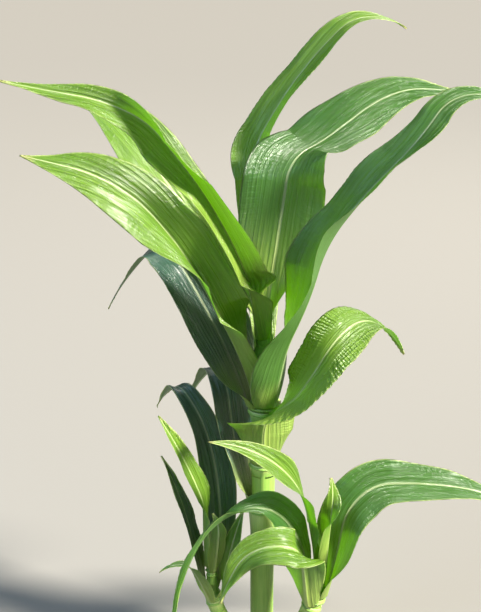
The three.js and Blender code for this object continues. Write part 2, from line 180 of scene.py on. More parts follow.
LEAVES = (
    Leaf("leaf_a_front_left", "main_stalk", Tone.BRIGHT, 344, 204, 446, 84,
         ((0, 77, 204, -2), (0.12, 67, 216, -24), (0.25, 62, 210, -43), (0.31, 64, 207, -70),
          (0.42, 60, 208, -62), (0.52, 56, 208, -74), (0.62, 51, 203, -88), (0.78, 31, 194, -82),
          (0.89, 15, 184, -62), (1, 15, 182, -40)),
         fold=(30, 54, -12), curl=(0, 2, 10), waves=(3, 4, 0), wrap=(86, 58), let_go=0.34, widest=0.55,
         flare=2.2, pale=190),
    Leaf("leaf_c_left", "main_stalk", Tone.BRIGHT, 420, 230, 476, 73,
         ((0, 78, 230, 3), (0.12, 76, 226, -39), (0.2, 69, 205, -91), (0.29, 64, 202, -93),
          (0.46, 57, 195, -95), (0.59, 52, 175, -120), (0.69, 26, 178, -90), (0.82, 10, 180, -55),
          (1, 12, 180, -30)),
         fold=(53, 63, 0), waves=(2.5, 6, 0.3), wrap=(61, 54), let_go=0.17, widest=0.25, flare=2,
         wrinkle=0.35, pale=330),
    Leaf("leaf_b_back_left", "main_stalk", Tone.BRIGHT, 434, 117, 400, 85,
         ((0, 62, 117, -3), (0.08, 50, 154, -20), (0.6, 51, 157, -41), (0.75, 38, 150, -30),
          (0.86, 4, 121, -10), (1, -14, 118, 0)),
         fold=(0, 13, 14), curl=(0, 12, 0), waves=(2, 4, 0.6), wrap=(26, 25), let_go=0.08, widest=0.5,
         flare=1.6, pale=240),
    Leaf("leaf_e_back_right", "main_stalk", Tone.MID, 446, 72, 424, 104,
         ((0, 77, 72, -3), (0.1, 77, 46, 20), (0.2, 78, 44, 34), (0.38, 80, 38, 38), (0.44, 44, 40, 20),
          (0.5, 18, 28, 4), (0.58, 32, 22, 24), (0.68, 32, 22, 48), (0.8, 14, 20, 50), (0.88, -4, 16, 40),
          (1, -10, 8, 30)),
         fold=(6, 9, 1), curl=(0, 9, 0), waves=(2.5, 5, 0.1), wrap=(43, 37), let_go=0.26, widest=0.3,
         flare=1.6, pale=140),
    Leaf("leaf_h_right", "main_stalk", Tone.MID, 337, -59, 542, 89,
         ((0, 75, -59, 17), (0.12, 77, -32, 6), (0.2, 64, -36, 27), (0.35, 76, -8, 26), (0.48, 54, -4, 17),
          (0.64, 46, 1, 17), (0.765, 53, 22, 41), (0.82, 20, 14, 30), (0.89, -16, 7, 20), (1, -34, 0, 10)),
         fold=(18, 25, 6), curl=(0, 20, 0), waves=(4, 4, 0.5), wrap=(34, 70), let_go=0.25, widest=0.16,
         flare=2.3, pale=48),
    Leaf("leaf_n_right", "main_stalk", Tone.BRIGHT, 258, -92, 364, 93,
         ((0, 82, -92, 0), (0.12, 78, -91, 0), (0.19, 62, -66, 1), (0.24, 41, -21, -3),
          (0.31, 39, -14, 10), (0.37, 56, 3, 12), (0.51, 54, 28, 13), (0.62, 22, 45, 30),
          (0.77, -30, 45, 20), (1, -58, 44, 0)),
         fold=(2, 4, 11), curl=(0, 2, 0), waves=(2, 3, 0), wrap=(86, 86), let_go=0.28, widest=0.22,
         flare=1.9, wrinkle=0.6, pale=190),
    Leaf("leaf_m_left", "main_stalk", Tone.DEEP, 329, 168, 332, 92,
         ((0, 72, 168, -3), (0.12, 68, 168, -22), (0.55, 58, 161, -33), (0.66, 20, 150, -20),
          (0.74, -48, 165, 0), (1, -62, 190, 0)),
         fold=(13, 10, 7), curl=(0, 8, 0), waves=(2, 3, 0.4), wrap=(76, 42), let_go=0.21, widest=0.3,
         flare=2.3),
    Leaf("leaf_k_low_left", "main_stalk", Tone.DEEP, 196, 170, 270, 58,
         ((0, 78, 170, 0), (0.1, 74, 160, 0), (0.5, 80, 125, 0), (0.62, 50, 120, 0), (0.74, -40, 125, 0),
          (1, -72, 170, 0)),
         fold=(12, 14, 8), waves=(2, 3, 0.2), wrap=(80, 80)),
    Leaf("leaf_l_top", "main_stalk", Tone.BRIGHT, 376, 92, 540, 60,
         ((0, 77, 92, 0), (0.1, 60, 92, 2), (0.43, 73, 107, 2), (0.54, 59, 22, 11), (0.62, 56, 13, 20),
          (0.82, 44, 6, 33), (0.9, -3, 20, 21), (1, -34, 26, 10)),
         fold=(19, 19, 15), curl=(0, 5, 0), waves=(2, 4, 0.7), wrap=(42, 41), let_go=0.15, widest=0.5,
         flare=2),
    Leaf("tiller_leaf_over_stalk", "right_tiller", Tone.MID, 124, 192, 356, 49,
         ((0, 86, 192, 5), (0.11, 77, 172, -14), (0.23, 60, 192, -64), (0.34, 37, 210, -47),
          (0.42, 7, 204, 6), (0.52, -24, 197, 31), (0.62, -54, 195, 24), (0.78, -73, 186, 0),
          (1, -82, 184, 0)),
         fold=(0, 2, 16), curl=(0, 17, 0), waves=(1.5, 3, 0.4), wrap=(28, 42), let_go=0.2, widest=0.36),
    Leaf("tiller_leaf_front", "right_tiller", Tone.BRIGHT, 96, 239, 250, 55,
         ((0, 69, 239, -4), (0.1, 71, 254, -5), (0.36, 68, 256, -1), (0.46, 36, 207, -39),
          (0.62, -18, 175, -50), (0.8, -62, 187, -66), (1, -74, 183, -24)),
         fold=(25, 5, 15), curl=(0, 4, 0), waves=(1.5, 3, 0.1), wrap=(58, 77), let_go=0.34, widest=0.34,
         flare=2.1),
    Leaf("tiller_leaf_back_left", "right_tiller", Tone.BRIGHT, 148, 131, 262, 40,
         ((0, 84, 131, 1), (0.2, 78, 227, -25), (0.37, 68, 220, -25), (0.53, 53, 213, -50),
          (0.65, 43, 204, -62), (0.77, 31, 197, -62), (1, 7, 190, -60)),
         fold=(12, 12, 9), curl=(0, -1, 0), waves=(1.5, 3, 0.6), wrap=(44, 49), let_go=0.18, flare=2),
    Leaf("tiller_leaf_right", "right_tiller", Tone.MID, 108, 5, 366, 67,
         ((0, 76, 5, 0), (0.1, 78, 2, 16), (0.26, 79, 25, 24), (0.38, 40, 22, 46), (0.5, -2, 9, 44),
          (0.77, -15, 8, 31), (1, -54, 4, 18)),
         fold=(14, 16, 11), curl=(0, 5, 0), waves=(2, 4, 0.2), wrap=(71, 73), let_go=0.2, widest=0.3,
         flare=2.5),
    Leaf("tiller_leaf_heart", "right_tiller", Tone.BRIGHT, 154, -40, 118, 34,
         ((0, 86, -40, 0), (0.5, 84, 10, 0), (1, 78, 160, 0)),
         fold=(14, 20, 10), curl=(0, 20, 0), waves=(1, 2, 0.2), wrap=(76, 76), let_go=0.6, widest=0.42,
         flare=1.6),
    Leaf("tiller_leaf_pale", "left_tiller", Tone.BRIGHT, 128, 181, 220, 42,
         ((0, 86, 181, -2), (0.34, 90, 185, -3), (0.46, 71, 186, -30), (0.8, 64, 185, -32),
          (1, 60, 180, -32)),
         fold=(14, 14, 9), waves=(1, 3, 0.6), wrap=(50, 41), let_go=0.2),
    Leaf("tiller_leaf_tall", "left_tiller", Tone.DEEP, 96, 70, 344, 46,
         ((0, 72, 70, 0), (0.12, 74, 66, 0), (0.36, 80, 120, -20), (0.62, 67, 158, -40),
          (0.74, 44, 144, -30), (0.81, -28, 119, 0), (1, -60, 130, 0)),
         waves=(1, 3, 0.1), wrap=(40, 36)),
    Leaf("tiller_leaf_dark", "left_tiller", Tone.DEEP, 88, 165, 198, 28,
         ((0, 72, 165, 0), (0.15, 78, 165, 0), (0.5, 78, 172, -20), (1, 62, 172, -30)),
         waves=(1, 3, 0.3), wrap=(28, 28)),
    Leaf("tiller_leaf_small_front", "left_tiller", Tone.MID, 84, 240, 118, 28,
         ((0, 62, 240, 0), (0.3, 64, 228, 0), (0.6, 58, 225, 0), (0.75, 10, 190, 0), (1, -50, 180, 0)),
         waves=(1, 2, 0.3), wrap=(34, 30)),
    Leaf("tiller_leaf_inner_front", "left_tiller", Tone.MID, 122, -55, 100, 26,
         ((0, 76, -55, 0), (0.5, 80, -60, 0), (1, 62, -150, 0)),
         waves=(1, 2, 0.8)),
    Leaf("tiller_leaf_inner_right", "left_tiller", Tone.MID, 88, -25, 120, 28,
         ((0, 74, -25, 0), (0.3, 80, 15, 20), (0.6, 74, 31, 30), (1, 62, 45, 20)),
         waves=(1, 2, 0.5), wrap=(34, 34)),
)


def direction(pitch: float, heading: float) -> np.ndarray:
    """The unit vector at a pitch and heading in degrees.

    Args:
        pitch: how steeply it rises.
        heading: where it goes on the level.

    Returns:
        The vector.
    """
    level = math.cos(math.radians(pitch))
    turn = math.radians(heading)
    return np.array((level * math.cos(turn), level * math.sin(turn), math.sin(math.radians(pitch))))


def value_at(entries: Course, share: float, column: int) -> float:
    """A value of a list of (share, value, ...) entries at a share, run evenly between entries."""
    return float(np.interp(share, [entry[0] for entry in entries], [entry[column] for entry in entries]))


def smoothstep(value: float, low: float, high: float) -> float:
    """A smooth rise from 0 at low to 1 at high."""
    part = min(1.0, max(0.0, (value - low) / (high - low)))
    return part * part * (3.0 - 2.0 * part)


def blend3(values: Sequence[float], share: float) -> float:
    """A smooth run through a foot, middle and tip value.

    Args:
        values: the three values.
        share: the share of the length.

    Returns:
        The value there.
    """
    foot, middle, tip = values
    first = smoothstep(share, 0.0, MIDDLE_SHARE)
    second = smoothstep(share, MIDDLE_SHARE, 1.0)
    return foot + (middle - foot) * first + (tip - middle) * second


def turned(vector: np.ndarray, axis: np.ndarray, angle: float) -> np.ndarray:
    """A vector turned about an axis by an angle in degrees."""
    return np.array(Matrix.Rotation(math.radians(angle), 3, Vector(axis)) @ Vector(vector))


@dataclass
class Station:
    """A place on a course with its forward, leftward and upward axes."""

    share: float
    place: np.ndarray
    along: np.ndarray
    across: np.ndarray
    facing: np.ndarray


def walk(start: np.ndarray, course: Course, length: float, steps: int) -> list[Station]:
    """Follows a course from its start.

    Args:
        start: where the course starts, in millimetres.
        course: entries of (share, pitch, heading) or (share, pitch, heading, roll).
        length: the whole length in millimetres.
        steps: how many even steps to take.

    Returns:
        One station more than the steps.
    """
    stations = []
    place = np.array(start, dtype=float)
    for i in range(steps + 1):
        share = i / steps
        pitch = value_at(course, share, 1)
        heading = value_at(course, share, 2)
        roll = value_at(course, share, 3) if len(course[0]) > 3 else 0.0
        along = direction(pitch, heading)
        across = turned(direction(0, heading + 90), along, roll)
        stations.append(Station(share, place.copy(), along, across, np.cross(along, across)))
        middle = (i + 0.5) / steps
        place += direction(value_at(course, middle, 1), value_at(course, middle, 2)) * (length / steps)
    return stations


def collars_of(stem: Stem) -> list[float]:
    """The heights of a stem's collars, from the lowest up."""
    return sorted(leaf.collar for leaf in LEAVES if leaf.stem == stem.name)


def stem_stations(stem: Stem) -> list[Station]:
    """The stations of a stem's course.

    Args:
        stem: the stem's rule.

    Returns:
        Its stations in millimetres, from the ground up.
    """
    foot = np.zeros(3)
    if stem.beside is not None:
        apart = STEMS["main_stalk"].radius[0][1] + stem.radius[0][1] + 2 * ROOT_FLARE + SEAT_GAP
        foot = direction(0, stem.beside) * apart
    return walk(foot, stem.course, stem.length, STEM_COURSE_STEPS)


def stem_place(stem: Stem, height: float) -> np.ndarray:
    """The stem's place at a height along it.

    Args:
        stem: the stem's rule.
        height: the height in millimetres.

    Returns:
        The place in millimetres.
    """
    stations = stem_stations(stem)
    at = min(max(height, 0.0) / stem.length * STEM_COURSE_STEPS, STEM_COURSE_STEPS - JUST_UNDER)
    low = int(at)
    part = at - low
    return stations[low].place * (1 - part) + stations[low + 1].place * part


def stem_radius(stem: Stem, height: float) -> float:
    """The stem's radius with the sheath that ends at the next collar above, and the flare at the ground.

    Args:
        stem: the stem's rule.
        height: the height in millimetres.

    Returns:
        The radius in millimetres.
    """
    collars = collars_of(stem)
    above = next((collar for collar in collars if collar > height), None)
    below = max([collar for collar in collars if collar <= height], default=0.0)
    sheath = 0.0 if above is None else SHEATH_RISE * (height - below) / (above - below)
    flare = ROOT_FLARE * max(0.0, 1 - height / ROOT_FLARE_HEIGHT) ** 2
    return value_at(stem.radius, height / stem.length, 1) + sheath + flare


def way_out(along: np.ndarray, heading: float) -> np.ndarray:
    """The level way at a heading, turned square to the way that a stem goes.

    Args:
        along: the way that the stem goes.
        heading: the heading in degrees.

    Returns:
        The unit vector.
    """
    out = direction(0, heading)
    out -= along * out.dot(along)
    return out / np.linalg.norm(out)


def operator(operation: str, reflected: bool = False) -> Callable[..., "Signal"]:
    """A Python operator that adds a Math node.

    Args:
        operation: the node's operation.
        reflected: whether the signal is on the operator's right.

    Returns:
        The method of a signal.
    """
    def apply(signal: "Signal", *others: Any) -> "Signal":
        """The node's result."""
        values = (*others, signal) if reflected else (signal, *others)
        return signal.graph.math(operation, *values)

    return apply


@dataclass(frozen=True, eq=False)
class Signal:
    """A node's output socket that Python's operators work on."""

    graph: "Graph"
    socket: bpy.types.NodeSocket

    __add__ = operator("ADD")
    __radd__ = operator("ADD", reflected=True)
    __sub__ = operator("SUBTRACT")
    __rsub__ = operator("SUBTRACT", reflected=True)
    __mul__ = operator("MULTIPLY")
    __rmul__ = operator("MULTIPLY", reflected=True)
    __truediv__ = operator("DIVIDE")
    __rtruediv__ = operator("DIVIDE", reflected=True)
    __pow__ = operator("POWER")
    __gt__ = operator("GREATER_THAN")
    __abs__ = operator("ABSOLUTE")


class Graph:
    """A node tree that is filled by expressions."""

    def __init__(self, tree: bpy.types.NodeTree) -> None:
        """Takes the tree that it fills."""
        self.tree = tree

    def node(self, kind: str, inputs: dict[str | int, Any] | None = None, **settings: Any) -> bpy.types.Node:
        """Adds any node.

        Args:
            kind: the node's type name.
            inputs: values or signals by a socket's identifier, name or index.
            settings: the node's properties, set before its sockets.

        Returns:
            The new node.
        """
        made = self.tree.nodes.new(kind)
        for key, value in settings.items():
            setattr(made, key, value)
        for key, value in (inputs or {}).items():
            self.feed(self.socket_of(made.inputs, key), value)
        return made

    def socket_of(self, sockets: Any, key: str | int) -> bpy.types.NodeSocket:
        """One socket of a node.

        Args:
            sockets: the node's inputs or outputs.
            key: its index, identifier or name.

        Returns:
            The socket.
        """
        if isinstance(key, int):
            return sockets[key]
        for socket in sockets:
            if socket.identifier == key:
                return socket
        return next(socket for socket in sockets if socket.name == key and socket.enabled)

    def feed(self, socket: bpy.types.NodeSocket, value: Any) -> None:
        """Links a signal to a socket, or sets its value, with a colour made opaque.

        Args:
            socket: the input.
            value: a signal, number, colour or material.
        """
        if isinstance(value, Signal):
            self.tree.links.new(value.socket, socket)
        elif socket.type == "RGBA":
            socket.default_value = (*value, 1.0)
        else:
            socket.default_value = value

    def out(self, node: bpy.types.Node, key: str | int = 0) -> Signal:
        """One of a node's outputs."""
        return Signal(self, self.socket_of(node.outputs, key))

    def math(self, operation: str, *values: Any) -> Signal:
        """A Math node on up to three values."""
        return self.out(self.node("ShaderNodeMath", dict(enumerate(values)), operation=operation))

    def vector(self, operation: str, *values: Any, scale: Any = None) -> Signal:
        """A Vector Math node.

        Args:
            operation: its operation.
            values: its vectors.
            scale: its scale, if it has one.

        Returns:
            The result.
        """
        inputs: dict[str | int, Any] = dict(enumerate(values))
        if scale is not None:
            inputs["Scale"] = scale
        return self.out(self.node("ShaderNodeVectorMath", inputs, operation=operation))

    def toward(self, start: Signal, way: Signal, far: Signal) -> Signal:
        """A place that lies a way from a start."""
        return self.vector("ADD", start, self.vector("SCALE", way, scale=far))

    def blend(self, first: Signal, first_far: Signal, second: Signal, second_far: Signal) -> Signal:
        """The sum of two ways, each by how far it goes."""
        return self.vector("ADD", self.vector("SCALE", first, scale=first_far),
                           self.vector("SCALE", second, scale=second_far))

    def combine(self, x: Any, y: Any, z: Any) -> Signal:
        """A vector of three values."""
        return self.out(self.node("ShaderNodeCombineXYZ", {0: x, 1: y, 2: z}))

    def rise(self, value: Any, low: Any, high: Any) -> Signal:
        """A smooth rise from 0 at low to 1 at high."""
        inputs = {"Value": value, "From Min": low, "From Max": high}
        return self.out(self.node("ShaderNodeMapRange", inputs, interpolation_type="SMOOTHSTEP"), "Result")

    def noise(self, place: Any, scale: float, detail: float = 2.0, rough: float = 0.5) -> Signal:
        """Noise from 0 to 1 at a place."""
        inputs = {"Vector": place, "Scale": scale, "Detail": detail, "Roughness": rough}
        return self.out(self.node("ShaderNodeTexNoise", inputs))

    def swell(self, place: Any, detail: float = 1.0) -> Signal:
        """Noise from -0.5 to 0.5 at a place."""
        return self.noise(place, 1.0, detail) - 0.5

    def uneven(self, fields: Sequence[Signal], turns: Sequence[float]) -> Signal:
        """Noise from -0.5 to 0.5 along three fields, each with its own turns."""
        return self.swell(self.combine(*(value * turn for value, turn in zip(fields, turns))))


class GeometryGraph(Graph):
    """A Geometry Nodes tree with named inputs, which spreads a grid along a line of stations, its spine.

    For each point, share is its share of the length, row its station, and even its place from -1 to 1.
    """

    WELD = 0.000004

    def __init__(self, name: str, columns: int) -> None:
        """Starts the tree.

        Args:
            name: its name.
            columns: how many points lie across, by default.
        """
        super().__init__(bpy.data.node_groups.new(name, "GeometryNodeTree"))
        for way in ("INPUT", "OUTPUT"):
            self.tree.interface.new_socket("Geometry", in_out=way, socket_type="NodeSocketGeometry")
        self.entry = self.tree.nodes.new("NodeGroupInput")
        self.columns = self.named("Columns", columns, "Int")
        self.spine = self.out(self.entry, "Geometry")
        count = self.node("GeometryNodeAttributeDomainSize", {"Geometry": self.spine})
        rows = self.out(count, "Point Count")
        sizes = {"Size X": 1.0, "Size Y": 1.0, "Vertices X": rows, "Vertices Y": self.columns}
        self.grid = self.out(self.node("GeometryNodeMeshGrid", sizes), "Mesh")
        spot = self.node("ShaderNodeSeparateXYZ", {0: self.position()})
        self.share = self.out(spot, "X") + 0.5
        self.row = self.math("ROUND", self.share * (rows - 1))
        self.even = self.out(spot, "Y") * 2.0

    def named(self, name: str, value: Any = None, kind: str = "Float") -> Signal:
        """A named input of the tree.

        Args:
            name: its name.
            value: its default.
            kind: Float, Int or Material.

        Returns:
            The input as a signal.
        """
        socket = self.tree.interface.new_socket(name, in_out="INPUT", socket_type=f"NodeSocket{kind}")
        if value is not None:
            socket.default_value = value
        return self.out(self.entry, name)

    def position(self) -> Signal:
        """Each point's position."""
        return self.out(self.node("GeometryNodeInputPosition"))

    def sample(self, value: Signal, kind: str) -> Signal:
        """A field of the spine, read at the station in this point's row."""
        inputs = {"Geometry": self.spine, "Value": value, "Index": self.row}
        return self.out(self.node("GeometryNodeSampleIndex", inputs, data_type=kind), "Value")

    def read(self, name: str, kind: str = "FLOAT") -> Signal:
        """A named value of the station in this point's row."""
        held = self.node("GeometryNodeInputNamedAttribute", {"Name": name}, data_type=kind)
        return self.sample(self.out(held, "Attribute"), kind)

    def read_vector(self, name: str) -> Signal:
        """A named vector of the station in this point's row."""
        return self.read(name, "FLOAT_VECTOR")

    def centre(self) -> Signal:
        """The place of the station in this point's row."""
        return self.sample(self.position(), "FLOAT_VECTOR")

    def ends(self, share: float) -> Signal:
        """A rise from 0 at each end of the line to 1 within a share of it."""
        return self.rise(self.share, 0.0, share) * self.rise(1.0 - self.share, 0.0, share)

    def skin(self, place: Signal, turn_over: bool, values: dict[str, Any]) -> Signal:
        """A copy of the grid at a place.

        Args:
            place: where its points go.
            turn_over: whether its faces look the other way.
            values: the numbers that its points keep, by name.

        Returns:
            The copy.
        """
        made = self.grid
        for name, value in values.items():
            inputs = {"Geometry": made, "Name": name, "Value": value}
            made = self.out(self.node("GeometryNodeStoreNamedAttribute", inputs, data_type="FLOAT"))
        made = self.out(self.node("GeometryNodeSetPosition", {"Geometry": made, "Position": place}))
        if turn_over:
            made = self.out(self.node("GeometryNodeFlipFaces", {"Mesh": made}))
        return made

    def close(self, skins: Sequence[Signal], material: Signal) -> bpy.types.NodeTree:
        """Joins the skins along their borders, gives them a material and ends the tree.

        Args:
            skins: the skins.
            material: the material.

        Returns:
            The finished tree.
        """
        joined = self.node("GeometryNodeJoinGeometry")
        for skin in skins:
            self.feed(joined.inputs[0], skin)
        made = self.out(joined)
        for kind, inputs in (("MergeByDistance", {"Distance": self.WELD}), ("SetShadeSmooth", {}),
                             ("RealizeInstances", {}), ("SetMaterial", {"Material": material})):
            made = self.out(self.node(f"GeometryNode{kind}", {"Geometry": made, **inputs}))
        self.feed(self.tree.nodes.new("NodeGroupOutput").inputs[0], made)
        return self.tree


@dataclass
class SpineLine:
    """A line of stations, in metres, with named vectors and numbers for each, which a tree reads."""

    places: np.ndarray
    vectors: dict[str, np.ndarray]
    values: dict[str, np.ndarray]

    @classmethod
    def gather(cls, places: list, vectors: list[dict], values: list[dict]) -> "SpineLine":
        """Makes a line from what each of its stations has.

        Args:
            places: the stations' places in millimetres.
            vectors: each station's vectors by name.
            values: each station's numbers by name.

        Returns:
            The line.
        """
        named = [{key: np.array([row[key] for row in rows]) for key in rows[0]}
                 for rows in (vectors, values)]
        return cls(np.array(places) * MM, *named)

    def to_object(self, name: str) -> bpy.types.Object:
        """An object that holds the line's points and its attributes.

        Args:
            name: the object's name.

        Returns:
            The object, which has no faces.
        """
        count = len(self.places)
        mesh = bpy.data.meshes.new(name)
        mesh.from_pydata([tuple(p) for p in self.places], [(i, i + 1) for i in range(count - 1)], [])
        for key, rows in self.vectors.items():
            mesh.attributes.new(key, "FLOAT_VECTOR", "POINT").data.foreach_set("vector", rows.ravel())
        for key, row in self.values.items():
            mesh.attributes.new(key, "FLOAT", "POINT").data.foreach_set("value", row)
        return place_object(name, mesh)


def place_object(name: str, data: Any) -> bpy.types.Object:
    """A new object in the scene, at the origin.

    Args:
        name: its name.
        data: its mesh, lamp or camera.

    Returns:
        The object.
    """
    made = bpy.data.objects.new(name, data)
    bpy.context.scene.collection.objects.link(made)
    return made


def grow(line: SpineLine, name: str, tree: bpy.types.NodeTree, inputs: dict[str, Any]) -> bpy.types.Object:
    """Runs a tree on a line and keeps the result as a plain mesh.

    Args:
        line: the stations that the tree reads.
        name: the finished piece's name.
        tree: the Geometry Nodes tree.
        inputs: values of the tree's named inputs.

    Returns:
        The piece, at the origin, with no modifier.
    """
    holder = line.to_object(f"{name}.line")
    modifier = holder.modifiers.new("rule", "NODES")
    modifier.node_group = tree
    for item in tree.interface.items_tree:
        if item.in_out == "INPUT" and item.name in inputs:
            modifier[item.identifier] = inputs[item.name]
    depsgraph = bpy.context.evaluated_depsgraph_get()
    mesh = bpy.data.meshes.new_from_object(holder.evaluated_get(depsgraph), depsgraph=depsgraph)
    mesh.name = name
    line_mesh = holder.data
    bpy.data.objects.remove(holder)
    bpy.data.meshes.remove(line_mesh)
    return place_object(name, mesh)


class BladeRule(GeometryGraph):
    """The rule of a blade: two skins across each station of its midrib, closed along the margins."""

    CROWDING, LEAST_CURL = 1.3, 0.001
    PATCH_FROM, PATCH_FULL, PATCH_SPREAD = 0.42, 0.66, 300.0
    FRILL_POWER, CRIMP_POWER = 2.4, 1.5
    CREASE_MM, CREASE_LEAN, CREASE_WANDER = 7.5, 2.2, 1.6
    PLEAT_HEIGHT, PLEAT_TURNS = 0.0022, (130.0, 5.0, 2.3)
    SWAY_HEIGHT, SWAY_TURNS = 0.011, (9.0, 1.1, 1.7)
    RIB_NARROWING, RIB_POWER, RIB_GROOVE, RIB_RIDGE = 1.15, 4, 0.4, 1.5
    END_SHARE, MARGIN_POWER = 0.004, 6

    def __init__(self) -> None:
        """Starts the tree with what its forms share."""
        super().__init__("blade_rule", columns=41)
        self.seed = self.named("Seed", 0.0)
        self.wrinkle = self.named("Wrinkle height", 0.0003)
        self.reach = abs(self.even) ** self.CROWDING
        self.left = self.even > 0.0
        self.hand = self.math("SIGN", self.even)
        self.half = self.read_side("half")
        self.free = self.read("free")
        self.far = self.share * self.read("length")
        self.patch_spot = self.spot(along=18.0, side=5.0, seed=3.1, reach=2.0)
        spread = self.wrinkle * self.PATCH_SPREAD
        self.patch = self.rise(self.noise(self.patch_spot, scale=1.0, detail=1.0),
                               self.PATCH_FROM - spread, self.PATCH_FULL - spread)

    def read_side(self, name: str) -> Signal:
        """A number of the station that differs between the left and the right half."""
        return self.read(f"{name}_left") * self.left + self.read(f"{name}_right") * (1 - self.left)

    def spot(self, along: float, side: float, seed: float, reach: float) -> Signal:
        """Where a noise is read: how far it moves a metre along, and for each half, leaf and reach."""
        return self.combine(self.far * along, self.hand * side + self.seed * seed, self.reach * reach)

    def ripple(self) -> Signal:
        """The even waves, highest at the margins.

        Returns:
            The height in metres.
        """
        turns = self.named("Wave count", 3.0) * self.share + self.named("Wave phase", 0.0)
        swing = self.math("SINE", TURN * turns + self.left * WAVE_LAG)
        return self.read("wave") * self.reach ** 2 * swing

    def frill(self) -> Signal:
        """The uneven ruffles of the margins.

        Returns:
            The height in metres.
        """
        ruffle = self.named("Ruffle height", 0.0015)
        rise = self.swell(self.spot(along=26.0, side=3.0, seed=1.0, reach=0.6), detail=1.5) * 2.0
        return rise * ruffle * self.free * self.reach ** self.FRILL_POWER

    def crease(self) -> Signal:
        """The crimps across the margins, in patches.

        Returns:
            The height in metres.
        """
        wander = self.noise(self.patch_spot, scale=2.0, detail=1.0) * self.CREASE_WANDER
        turns = self.far * TO_MM / self.CREASE_MM + self.reach * self.CREASE_LEAN + wander
        rise = self.math("SINE", turns * TURN) * self.wrinkle * self.patch * self.free
        return rise * self.rise(self.reach, low=0.25, high=0.7)

    def pleat(self) -> Signal:
        """The long shallow pleats beside the midrib."""
        rise = self.uneven((self.reach * self.half * self.hand, self.far, self.seed), self.PLEAT_TURNS)
        return rise * self.PLEAT_HEIGHT * self.free * self.rise(self.reach, low=0.06, high=0.2)

    def sway(self) -> Signal:
        """The slow uneven bends of each half."""
        rise = self.uneven((self.far, self.reach * self.hand, self.seed), self.SWAY_TURNS)
        return rise * self.SWAY_HEIGHT * self.free * self.reach

    def surfaces(self) -> tuple[Signal, Signal]:
        """Bends and lifts the grid.

        Returns:
            The places of the upper and the under skin.
        """
        fold = self.read("fold")
        bend = self.math("MAXIMUM", self.read_side("curl"), self.LEAST_CURL)
        turn = fold + bend * self.reach
        sine, cosine = self.math("SINE", turn), self.math("COSINE", turn)
        across, facing = self.read_vector("across"), self.read_vector("facing")
        aside = (sine - self.math("SINE", fold)) / bend * self.half * self.hand
        lift = (self.math("COSINE", fold) - cosine) / bend * self.half
        height = lift + self.ripple() + self.frill() + self.crease() + self.sway() + self.pleat()
        middle = self.toward(self.toward(self.centre(), across, aside), facing, height)
        normal = self.blend(across, sine * self.hand * -1.0, facing, cosine)
        rib_width = self.named("Rib width", 0.003) * (self.RIB_NARROWING - self.share)
        rib = 1.0 / (1.0 + (self.reach * self.half / rib_width) ** self.RIB_POWER) * self.read("rib")
        ends = self.ends(self.END_SHARE)
        body = self.named("Thickness", 0.0006) * (1.0 - abs(self.even) ** self.MARGIN_POWER) * ends
        upper = self.toward(middle, normal, body * 0.5 - rib * self.RIB_GROOVE * ends)
        under = self.toward(middle, normal, (body * 0.5 + rib * self.RIB_RIDGE * ends) * -1.0)
        return upper, under

    def build(self) -> bpy.types.NodeTree:
        """Builds both skins and ends the tree.

        Returns:
            The finished tree.
        """
        relief = (self.wrinkle * TO_MM) ** self.CRIMP_POWER
        values = {
            "share": self.share,
            "across_mm": self.reach * self.half * self.hand * TO_MM,
            "along_mm": self.far * TO_MM,
            "margin_mm": (1.0 - self.reach) * self.half * TO_MM,
            "from_pale": self.far * TO_MM / self.named("Pale length", 90.0),
            "crimp": relief * self.rise(self.reach, low=0.2, high=0.7) * self.patch * self.free}
        skins = [self.skin(place, bool(side), {**values, "under": float(side)})
                 for side, place in enumerate(self.surfaces())]
        return self.close(skins, self.named("Material", kind="Material"))


class SheathRule(GeometryGraph):
    """The rule of a rolled sheath: a skin rolled round a stem with a lap, and its inner wall."""

    RIBS, RIB_HEIGHT = 22.0, 0.00012
    LOOSE_HEIGHT, LOOSE_TURNS = 0.0012, (14.0, 0.7, 1.0)
    KEEL_ANGLE, KEEL_HEIGHT = 0.35, 0.0006
    BORDER_POWER, BORDER_SHARE, MARGIN_SPAN = 24, 0.01, 3.0

    def __init__(self) -> None:
        """Starts the tree."""
        super().__init__("sheath_rule", columns=73)

    def build(self) -> bpy.types.NodeTree:
        """Builds both walls and ends the tree.

        Returns:
            The finished tree.
        """
        span, seed = self.named("Span", 6.9), self.named("Seed", 0.0)
        lap, wall = self.named("Lap", 0.0008), self.named("Wall", 0.0007)
        out, side, centre = self.read_vector("out"), self.read_vector("side"), self.centre()
        radius, far = self.read("radius"), self.share * self.read("length")
        from_middle = abs(self.even)
        angle = self.even * (span * 0.5 - self.read("open") * from_middle)
        rib = self.math("SINE", angle * self.RIBS) * self.RIB_HEIGHT
        loose = self.uneven((far, angle, seed), self.LOOSE_TURNS) * self.LOOSE_HEIGHT
        keel = self.rise(self.KEEL_ANGLE - abs(angle), 0.0, self.KEEL_ANGLE) * self.KEEL_HEIGHT
        flare = self.read("flare") * (1.0 - self.rise(abs(angle), low=1.5, high=2.4))
        ray = radius + flare + lap * self.even + rib + loose * from_middle + keel
        border = (1.0 - from_middle ** self.BORDER_POWER) * self.ends(self.BORDER_SHARE)
        values = {
            "share": self.share,
            "across_mm": angle * radius * TO_MM,
            "along_mm": far * TO_MM,
            "margin_mm": (1.0 - from_middle) * radius * self.MARGIN_SPAN * TO_MM}
        sine, cosine = self.math("SINE", angle), self.math("COSINE", angle)
        skins = []
        for reach, turn_over in ((ray, True), (ray - wall * border, False)):
            ring = self.blend(out, cosine * reach, side, sine * reach)
            skins.append(self.skin(self.vector("ADD", centre, ring), turn_over, values))
        return self.close(skins, self.named("Material", kind="Material"))


